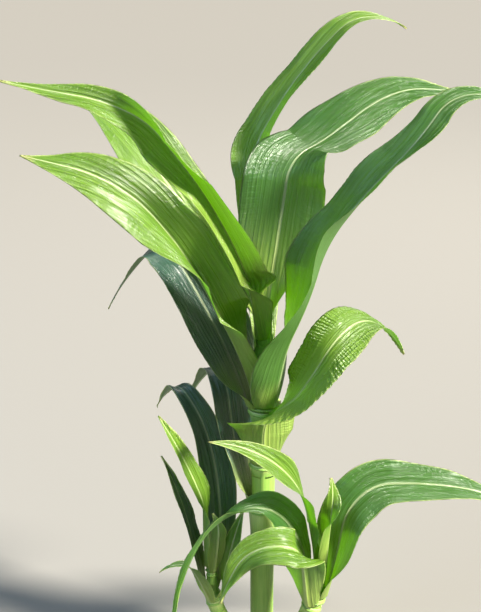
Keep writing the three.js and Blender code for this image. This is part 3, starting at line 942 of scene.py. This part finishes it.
class FinishGraph(Graph):
    """A material's shader tree, which reads the millimetres and shares kept on a piece's points."""

    def __init__(self, name: str) -> None:
        """Starts the material.

        Args:
            name: its name.
        """
        self.made = bpy.data.materials.new(name)
        self.made.use_nodes = True
        super().__init__(self.made.node_tree)
        self.tree.nodes.clear()
        self.across, self.along, self.share = map(self.read, ("across_mm", "along_mm", "share"))
        self.place = self.out(self.node("ShaderNodeTexCoord"), "Object")

    def read(self, name: str) -> Signal:
        """A value kept on the piece's points."""
        made = self.node("ShaderNodeAttribute", attribute_type="GEOMETRY", attribute_name=name)
        return self.out(made, "Fac")

    def grain(self, across: float, along: float, seed: float, detail: float = 2.0,
              rough: float = 0.5) -> Signal:
        """Noise from 0 to 1 that is drawn out along a leaf, with its turns a millimetre both ways."""
        return self.noise(self.combine(self.across * across, self.along * along, seed), 1.0, detail, rough)

    def ribs(self, lane: Signal, every: float) -> Signal:
        """Even ribs, from 0 to 1, at a spacing."""
        return self.math("SINE", lane * (TURN / every)) * 0.5 + 0.5

    def paint(self, colour: Any, *layers: tuple[Signal, float, Colour]) -> Any:
        """A colour under layers.

        Args:
            colour: the colour.
            layers: where each layer is, how much it covers there and its colour.

        Returns:
            The painted colour.
        """
        for where, cover, tint in layers:
            inputs = {"Factor_Float": where * cover, "A_Color": colour, "B_Color": tint}
            colour = self.out(self.node("ShaderNodeMix", inputs, data_type="RGBA"), "Result_Color")
        return colour

    def weigh(self, *layers: tuple[Signal, float]) -> Signal:
        """The sum of layers, each times its weight."""
        parts = [layer * weight for layer, weight in layers]
        return sum(parts[1:], parts[0])

    def skin(self, colour: Signal, rough: Signal, relief: Signal, bump: tuple[float, float],
             looks: dict[str, float]) -> Signal:
        """A glossy surface.

        Args:
            colour: its colour.
            rough: its roughness.
            relief: the height of its fine relief.
            bump: the relief's strength, and its height in metres.
            looks: constants of the surface by socket name.

        Returns:
            The shader.
        """
        inputs = {"Strength": bump[0], "Distance": bump[1], "Height": relief}
        normal = self.out(self.node("ShaderNodeBump", inputs), "Normal")
        inputs = {"Base Color": colour, "Roughness": rough, "Normal": normal, **looks}
        return self.out(self.node("ShaderNodeBsdfPrincipled", inputs))

    def close(self, shader: Signal) -> bpy.types.Material:
        """Ends the tree with a shader."""
        self.node("ShaderNodeOutputMaterial", {"Surface": shader}, is_active_output=True)
        return self.made


@dataclass(frozen=True)
class BladeFinish:
    """The finish of a leaf: its colours, veins, gloss and the light that comes through it."""

    WAVER_MM, FINE_MM, BROAD_MM, PUCKER_MM, PUCKER_LEAN = 1.6, 1.25, 5.4, 3.6, 0.06
    RIB_MM, RIB_THINS_MM, RIB_LEAST, RIB_VARIES = 3.3, 2.7, 0.8, 0.4
    RIB_CORE, RIB_SHOULDER, RIB_SHADE = 0.35, 3.2, 0.6
    DARKEN, WARM, DRY_VARIES = 0.55, (1.9, 1.35, 0.6), 0.05
    BUMP = (0.9, 0.001)
    LOOKS = {"Specular IOR Level": 1.0, "Coat Weight": 0.2, "Coat Roughness": 0.28}

    name: str
    flesh: Colour
    vein: Colour
    rib: Colour = (0.60, 0.68, 0.36)
    through: Colour = (0.46, 0.80, 0.02)
    under: Colour = (0.12, 0.27, 0.045)
    foot: Colour = (0.50, 0.60, 0.13)
    edge: Colour = (0.62, 0.68, 0.26)
    dry: Colour = (0.42, 0.36, 0.14)
    gloss: float = 0.26
    let_through: float = 0.42

    def material(self) -> bpy.types.Material:
        """Builds this finish from the flesh out.

        Returns:
            The material.
        """
        g = FinishGraph(self.name)
        lane = g.across + (g.grain(across=0.05, along=0.012, seed=0.0) - 0.5) * self.WAVER_MM
        fine, broad = g.ribs(lane, self.FINE_MM), g.ribs(lane, self.BROAD_MM) ** 2
        broad = broad * g.rise(g.grain(across=0.35, along=0.006, seed=11.0, rough=0.6), low=0.3, high=0.65)
        streak = g.grain(across=0.9, along=0.012, seed=3.0, detail=3.0, rough=0.6)
        band = g.grain(across=0.22, along=0.004, seed=5.0)
        cross = g.grain(across=0.07, along=0.5, seed=7.0)
        dapple = g.noise(g.place, scale=14.0, detail=3.0, rough=0.55)
        lean = abs(g.across) * self.PUCKER_LEAN + g.grain(across=0.2, along=0.06, seed=9.0)
        pucker = g.ribs(g.along / self.PUCKER_MM + lean, 1.0) * g.read("crimp")
        rib_half = (self.RIB_MM - g.share * self.RIB_THINS_MM) * (self.RIB_LEAST + streak * self.RIB_VARIES)
        rib = 1.0 - g.rise(abs(g.across), rib_half * self.RIB_CORE, rib_half)
        shoulder = (1.0 - g.rise(abs(g.across), rib_half, rib_half * self.RIB_SHOULDER)) * (1.0 - rib)
        under, edge = g.read("under"), 1.0 - g.rise(g.read("margin_mm"), low=0.35, high=1.7)
        heel = (1.0 - g.rise(g.read("from_pale"), low=0.1, high=1.0)) * g.rise(streak, low=0.15, high=0.6)
        dry = g.rise(g.share + (g.noise(g.place, scale=90.0) - 0.5) * self.DRY_VARIES, low=0.955, high=0.995)
        dark = tuple(part * self.DARKEN for part in self.flesh)
        warm = tuple(min(1.0, part * scale) for part, scale in zip(self.flesh, self.WARM))
        colour = g.paint(
            self.flesh,
            (g.rise(streak, low=0.3, high=0.75), 0.9, self.vein),
            (g.rise(band, low=0.48, high=0.72), 0.55, dark),
            (g.rise(dapple, low=0.4, high=0.75), 0.5, warm),
            (fine, 0.25, self.vein),
            (broad, 0.4, self.vein),
            (g.rise(cross, low=0.62, high=0.8), 0.25, self.flesh),
            (pucker, 0.7, self.vein),
            (under, 0.6, self.under),
            (shoulder, 0.3, self.vein),
            (rib * (g.share + 1.0), 0.3, self.rib),
            (edge, 0.8, self.edge),
            (heel, 0.7, self.foot),
            (dry, 0.7, self.dry))
        relief = g.weigh((fine, 0.4), (broad, 1.6), (streak, 2.2), (band, 1.8), (cross, 0.3), (pucker, 2.2),
                         (rib, 0.6))
        dull = g.weigh((under, 0.2), (dapple, 0.1), (edge, 0.1), (streak - 0.5, 0.3), (band - 0.5, 0.3))
        leaf = g.skin(colour, self.gloss + dull, relief, self.BUMP, self.LOOKS)
        glow = g.out(g.node("ShaderNodeBsdfTranslucent", {"Color": self.through}))
        share_through = self.let_through * (1.0 - rib * self.RIB_SHADE)
        return g.close(g.out(g.node("ShaderNodeMixShader", {0: share_through, 1: leaf, 2: glow})))


@dataclass(frozen=True)
class SheathFinish:
    """The finish of stems and sheaths: waxy green with fine ribs, paler at its edges."""

    WAVER_MM, RIB_MM, CLOUD_DULLS = 1.2, 1.4, 0.2
    BUMP = (0.5, 0.0006)
    LOOKS = {"Specular IOR Level": 0.45, "Subsurface Weight": 0.08, "Subsurface Scale": 0.004}

    name: str
    flesh: Colour = (0.13, 0.28, 0.04)
    rib: Colour = (0.36, 0.50, 0.11)
    edge: Colour = (0.58, 0.62, 0.26)
    base: Colour = (0.30, 0.36, 0.15)
    gloss: float = 0.42

    def material(self) -> bpy.types.Material:
        """Builds this finish from the flesh out.

        Returns:
            The material.
        """
        g = FinishGraph(self.name)
        level = g.out(g.node("ShaderNodeSeparateXYZ", {0: g.place}), "Z")
        lane = g.across + (g.grain(across=0.05, along=0.01, seed=0.0) - 0.5) * self.WAVER_MM
        fine = g.ribs(lane, self.RIB_MM)
        streak = g.grain(across=0.8, along=0.01, seed=3.0, detail=3.0, rough=0.6)
        cloud = g.noise(g.place, scale=30.0, detail=3.0, rough=0.6)
        colour = g.paint(
            self.flesh,
            (g.rise(streak, low=0.3, high=0.72), 0.6, self.rib),
            (fine, 0.25, self.rib),
            (g.rise(cloud, low=0.35, high=0.8), 0.35, self.flesh),
            (g.rise(g.share, low=0.8, high=1.0), 0.5, self.edge),
            (1.0 - g.rise(g.read("margin_mm"), low=0.4, high=1.8), 0.6, self.edge),
            (1.0 - g.rise(level, low=0.004, high=0.07), 0.6, self.base))
        relief = g.weigh((fine, 0.5), (streak, 0.7), (cloud, 0.2))
        return g.close(g.skin(colour, self.gloss + cloud * self.CLOUD_DULLS, relief, self.BUMP, self.LOOKS))


@dataclass
class Blade:
    """A leaf's blade from its rule: thin, ribbed under its midrib, waved and wrinkled along its margins.

    Its thickness and the step between its rows are in millimetres.
    """

    leaf: Leaf
    seed: float = 0.0
    row_step: float = 2.2
    columns: int = 41
    thickness: float = 0.55

    def foot(self) -> float:
        """The height along the stem at which the midrib starts."""
        return self.leaf.collar + SEAT_GAP + COLLAR_EDGE * 2

    def start(self) -> np.ndarray:
        """Where the midrib leaves the stem.

        Returns:
            The place in millimetres.
        """
        stem, foot = STEMS[self.leaf.stem], self.foot()
        rise = stem_place(stem, foot + 1) - stem_place(stem, foot)
        rise /= np.linalg.norm(rise)
        return stem_place(stem, foot) + way_out(rise, self.leaf.side) * self.wrap_radius()

    def wrap_radius(self) -> float:
        """How far the foot's middle skin is from the stem's middle.

        Returns:
            The radius in millimetres.
        """
        chord = math.cos(math.radians(max(self.leaf.wrap)) / BLADE_STRIPS)
        thick = self.leaf.length * BLADE_THICKNESS_SHARE
        return (stem_radius(STEMS[self.leaf.stem], self.foot()) + SEAT_GAP) / chord + thick / 2

    def half_width(self, share: float, foot_half: float) -> float:
        """The blade's half width.

        Args:
            share: the share of the length.
            foot_half: the half width at the foot.

        Returns:
            The half width in millimetres.
        """
        leaf = self.leaf
        half = leaf.width / 2
        if share < leaf.widest:
            rise = 1 - (1 - share / leaf.widest) ** leaf.flare
            return foot_half + (half - foot_half) * rise
        fall = (share - leaf.widest) / (1 - leaf.widest)
        return TIP_HALF_WIDTH + (half - TIP_HALF_WIDTH) * (1 - fall ** TIP_FALL) ** TIP_DRAW

    def line(self) -> SpineLine:
        """The midrib's stations, with the width, fold, curl and waves at each.

        Returns:
            The line that the blade tree reads.
        """
        leaf = self.leaf
        steps = max(MIN_BLADE_STEPS, round(leaf.length / self.row_step))
        stations = walk(self.start(), leaf.course, leaf.length, steps)
        wraps = [math.radians(angle) for angle in leaf.wrap]
        foot_halves = [self.wrap_radius() * wrap for wrap in wraps]
        rib = RIB_HEIGHT * min(1.0, leaf.width / RIB_FULL_AT_WIDTH)
        rows = []
        for share in (station.share for station in stations):
            hold = 1 - smoothstep(share, 0.0, leaf.let_go)
            curl = math.radians(blend3(leaf.curl, share)) * (1 - hold)
            swing = math.sin(math.pi * min(1.0, share / WAVE_END_SHARE))
            rows.append({
                "half_left": self.half_width(share, foot_halves[0]) * MM,
                "half_right": self.half_width(share, foot_halves[1]) * MM,
                "fold": math.radians(blend3(leaf.fold, share)) * (1 - hold),
                "free": 1 - hold,
                "curl_left": curl + wraps[0] * hold,
                "curl_right": curl + wraps[1] * hold,
                "wave": leaf.waves[0] * swing * (1 - hold) * MM,
                "length": leaf.length * MM,
                "rib": rib * (1 - share) ** RIB_TAPER * MM})
        ways = [{"across": station.across, "facing": station.facing} for station in stations]
        return SpineLine.gather([station.place for station in stations], ways, rows)

    def build(self, tree: bpy.types.NodeTree, material: bpy.types.Material) -> bpy.types.Object:
        """Grows the blade in its node's place.

        Args:
            tree: the blade tree.
            material: its finish.

        Returns:
            The finished piece.
        """
        leaf = self.leaf
        piece = grow(self.line(), f"{leaf.name}.blade", tree, {
            "Columns": self.columns, "Wave count": float(leaf.waves[1]), "Wave phase": float(leaf.waves[2]),
            "Ruffle height": leaf.ruffle * MM, "Wrinkle height": leaf.wrinkle * MM,
            "Thickness": self.thickness * MM, "Rib width": (RIB_WIDTH + leaf.width * RIB_WIDTH_SHARE) * MM,
            "Seed": self.seed, "Pale length": leaf.pale, "Material": material})
        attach(piece, "root")
        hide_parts(leaf.name)
        return piece


@dataclass
class StemDress:
    """A stem's culm and the sheaths rolled round it, each ending at its leaf's collar.

    The step between its rows is in millimetres.
    """

    stem: Stem
    tree: bpy.types.NodeTree
    material: bpy.types.Material
    step: float = 3.0
    columns: int = 73

    def along(self, height: float) -> np.ndarray:
        """The way that the stem goes, which is straight up at the ground.

        Args:
            height: the height along it.

        Returns:
            The unit vector.
        """
        share = min(1.0, max(0.0, height / self.stem.length))
        level = 1 - smoothstep(height, 0.0, UPRIGHT_FOOT)
        way = direction(value_at(self.stem.course, share, 1), value_at(self.stem.course, share, 2))
        way = way * (1 - level) + np.array((0.0, 0.0, 1.0)) * level
        return way / np.linalg.norm(way)

    def line(self, low: float, high: float, facing: float, grow_out: float = 0.0, widen: float = 0.0,
             swell: float = 0.0) -> SpineLine:
        """The stations of one rolled skin.

        Args:
            low: the height of its lower edge along the stem.
            high: the height of its upper edge.
            facing: the heading of its middle line.
            grow_out: how far it stands out from the stem at its foot, in millimetres.
            widen: how far it opens at its upper edge, in millimetres.
            swell: how far it bulges half way up, in millimetres.

        Returns:
            The line that the sheath tree reads.
        """
        steps = max(MIN_SHEATH_STEPS, round((high - low) / self.step))
        places, ways, rows = [], [], []
        for i in range(steps + 1):
            share = i / steps
            height = low + (high - low) * i / steps
            along = self.along(height)
            out = way_out(along, facing)
            bulge = swell * math.sin(math.pi * smoothstep(share, SHEATH_SWELL_FROM, 1.0)) ** 2
            radius = stem_radius(self.stem, max(0.0, height - JUST_UNDER)) + grow_out + bulge
            places.append(stem_place(self.stem, height))
            ways.append({"out": out, "side": np.cross(along, out)})
            rows.append({
                "radius": radius * MM,
                "flare": widen * smoothstep(share, SHEATH_FLARE_FROM, 1.0) * MM,
                "open": SHEATH_OPENING * smoothstep(share, SHEATH_OPEN_FROM, 1.0),
                "length": (high - low) * MM})
        return SpineLine.gather(places, ways, rows)

    def roll(self, line: SpineLine, part: str, seed: float, span: float, lap: float,
             wall: float) -> bpy.types.Object:
        """One rolled skin, in its node's place.

        Args:
            line: its stations.
            part: the last word of its name.
            seed: where its noise starts.
            span: how far it goes round, in radians.
            lap: how far one border lies over the other, in millimetres.
            wall: its thickness in millimetres.

        Returns:
            The finished piece.
        """
        piece = grow(line, f"{self.stem.name}.{part}", self.tree, {
            "Columns": self.columns, "Span": span, "Lap": lap * MM, "Wall": wall * MM,
            "Seed": seed, "Material": self.material})
        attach(piece, "root")
        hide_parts(self.stem.name)
        return piece

    def ligule(self, leaf: Leaf, number: int, widen: float) -> bpy.types.Object:
        """The short skin inside a blade's foot, which closes its sheath's mouth.

        Args:
            leaf: the blade that the sheath belongs to.
            number: the sheath's number, counted from the ground.
            widen: how far the sheath opens, in millimetres.

        Returns:
            The finished piece.
        """
        line = self.line(leaf.collar - LIGULE_DEPTH, leaf.collar + LIGULE_HEIGHT, leaf.side, LIGULE_GAP)
        last = len(line.places) - 1
        fall = [widen * (1 - smoothstep(i / last, *LIGULE_FALL)) for i in range(last + 1)]
        line.values["flare"] = np.array(fall) * MM
        line.values["open"] = np.zeros(last + 1)
        return self.roll(line, f"ligule_{number}", number + LIGULE_SEED, span=6.3, lap=0.1, wall=0.4)

    def build(self) -> list[bpy.types.Object]:
        """Grows the culm, a sheath below each collar, and a ligule in each mouth below the whorl.

        Returns:
            The finished pieces.
        """
        stem = self.stem
        pieces = []
        own = sorted((leaf for leaf in LEAVES if leaf.stem == stem.name), key=lambda leaf: leaf.collar)
        below = 0.0
        for number, leaf in enumerate(own, 1):
            low = max(0.0, below - SHEATH_OVERLAP)
            widen = Blade(leaf).wrap_radius() - stem_radius(stem, leaf.collar) - SEAT_GAP
            in_whorl = low > WHORL_FOOT
            swell = WHORL_SWELL_SHARE * (leaf.collar - below) if in_whorl else 0.0
            flare = min(widen, WHORL_FLARE) if in_whorl else widen
            line = self.line(low, leaf.collar + SHEATH_MOUTH, leaf.side, 0.0, flare, swell)
            pieces.append(self.roll(line, f"sheath_{number}", float(number), span=6.9, lap=0.5, wall=0.7))
            if not in_whorl:
                pieces.append(self.ligule(leaf, number, widen))
            below = leaf.collar
        culm = self.line(0.0, stem.length, CULM_FACING, CULM_INSET)
        pieces.append(self.roll(culm, "culm", CULM_SEED, span=6.6, lap=0.2, wall=0.7))
        return pieces


@dataclass(frozen=True)
class Lamp:
    """A lamp that points at the plant from a place in metres.

    Its size is its square's side in metres, or a sun's width in degrees. Its power is in watts, or a sun's
    strength.
    """

    name: str
    kind: LampKind
    place: tuple[float, float, float]
    size: float
    power: float
    colour: Colour

    def hang(self, target: Vector) -> bpy.types.Object:
        """Hangs the lamp in the scene.

        Args:
            target: where it points.

        Returns:
            The lamp.
        """
        data = bpy.data.lights.new(self.name, self.kind.value)
        if self.kind is LampKind.SUN:
            data.angle = math.radians(self.size)
        else:
            data.size = self.size
        data.energy = self.power
        data.color = self.colour
        made = place_object(self.name, data)
        made.location = self.place
        made.rotation_euler = (target - Vector(self.place)).to_track_quat("-Z", "Y").to_euler()
        return made


@dataclass
class Studio:
    """The pale floor, the soft lights and the camera at the photograph's angle, in metres and degrees."""

    elevation: float = 20.0
    distance: float = 1.7
    target: Vector = field(default_factory=lambda: Vector((-0.027, 0.0, 0.464)))
    metres_per_pixel: float = 0.00118
    frame_height: int = 612
    sensor: float = 36.0
    floor_reach: float = 40.0
    floor_colour: Colour = (0.235, 0.225, 0.21)
    floor_rough: float = 0.9
    air_colour: Colour = (0.72, 0.84, 1.0)
    air_strength: float = 0.22
    lamps: tuple[Lamp, ...] = (
        Lamp("sun", LampKind.SUN, (2.5, -1.05, 2.35), 12.0, 14.0, (1.0, 0.95, 0.84)),
        Lamp("fill", LampKind.AREA, (-2.3, -1.3, 2.2), 2.6, 72.0, (0.50, 0.72, 1.0)),
        Lamp("back", LampKind.AREA, (0.9, 2.3, 1.9), 1.0, 22.0, (1.0, 0.96, 0.84)),
    )

    def camera(self) -> bpy.types.Object:
        """Sets the camera, which looks along +Y and down.

        Returns:
            The camera.
        """
        data = bpy.data.cameras.new("portrait_camera")
        data.sensor_width = self.sensor
        focal_pixels = self.distance / self.metres_per_pixel
        data.lens = self.sensor * focal_pixels / self.frame_height
        made = place_object("portrait_camera", data)
        down = math.radians(self.elevation)
        back = Vector((0.0, -math.cos(down), math.sin(down)))
        made.location = self.target + back * self.distance
        made.rotation_euler = (math.pi / 2 - down, 0.0, 0.0)
        bpy.context.scene.camera = made
        return made

    def floor(self) -> bpy.types.Object:
        """Lays a wide pale floor at ground level.

        Returns:
            The floor.
        """
        reach = self.floor_reach
        mesh = bpy.data.meshes.new("floor")
        corners = [(x * reach, y * reach, 0.0) for x, y in ((-1, -1), (1, -1), (1, 1), (-1, 1))]
        mesh.from_pydata(corners, [], [(0, 1, 2, 3)])
        material = bpy.data.materials.new("floor")
        material.use_nodes = True
        shader = material.node_tree.nodes["Principled BSDF"]
        shader.inputs["Base Color"].default_value = (*self.floor_colour, 1.0)
        shader.inputs["Roughness"].default_value = self.floor_rough
        mesh.materials.append(material)
        made = place_object("floor", mesh)
        return made

    def build(self) -> None:
        """Sets the floor, the lights, the air and the camera."""
        self.camera()
        self.floor()
        for lamp in self.lamps:
            lamp.hang(self.target)
        world = bpy.data.worlds.new("air")
        world.use_nodes = True
        air = world.node_tree.nodes["Background"]
        air.inputs["Color"].default_value = (*self.air_colour, 1.0)
        air.inputs["Strength"].default_value = self.air_strength
        scene = bpy.context.scene
        scene.world = world
        scene.view_settings.view_transform = "Standard"
        scene.view_settings.look = "None"


@dataclass
class MaizePlant:
    """The whole plant: its stems with their sheaths, and its leaves."""

    SEED_STEP = 3.7

    # Lit and shaded copies of one leaf colour: the bright finish is painted sunlight, the mid one painted
    # half shade, and the darkest, bluest one painted shade with a painted blue sky reflection, which also
    # lets less light through.
    finishes: dict[Tone, BladeFinish] = field(default_factory=lambda: {
        Tone.BRIGHT: BladeFinish("leaf_bright", (0.062, 0.16, 0.008), (0.24, 0.37, 0.05)),
        Tone.MID: BladeFinish("leaf_mid", (0.021, 0.078, 0.02), (0.08, 0.18, 0.05)),
        Tone.DEEP: BladeFinish("leaf_deep", (0.011, 0.04, 0.034), (0.028, 0.08, 0.066), let_through=0.2),
    })
    sheath: SheathFinish = SheathFinish("stalk")

    def build(self) -> None:
        """Makes and dresses every piece and reports it."""
        sheath_rule, blade_rule = SheathRule().build(), BladeRule().build()
        stalk = self.sheath.material()
        leaves = {tone: finish.material() for tone, finish in self.finishes.items()}
        pieces = [piece for stem in STEMS.values() for piece in StemDress(stem, sheath_rule, stalk).build()]
        for number, leaf in enumerate(LEAVES):
            pieces.append(Blade(leaf, self.SEED_STEP * number).build(blade_rule, leaves[leaf.tone]))
        for piece in pieces:
            log.info("%s: %d faces", piece.name, len(piece.data.polygons))


def main() -> None:
    """Builds the studio and the plant."""
    logging.basicConfig(level=logging.INFO, format="%(message)s")
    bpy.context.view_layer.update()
    Studio().build()
    MaizePlant().build()


if __name__ == "__main__":
    main()
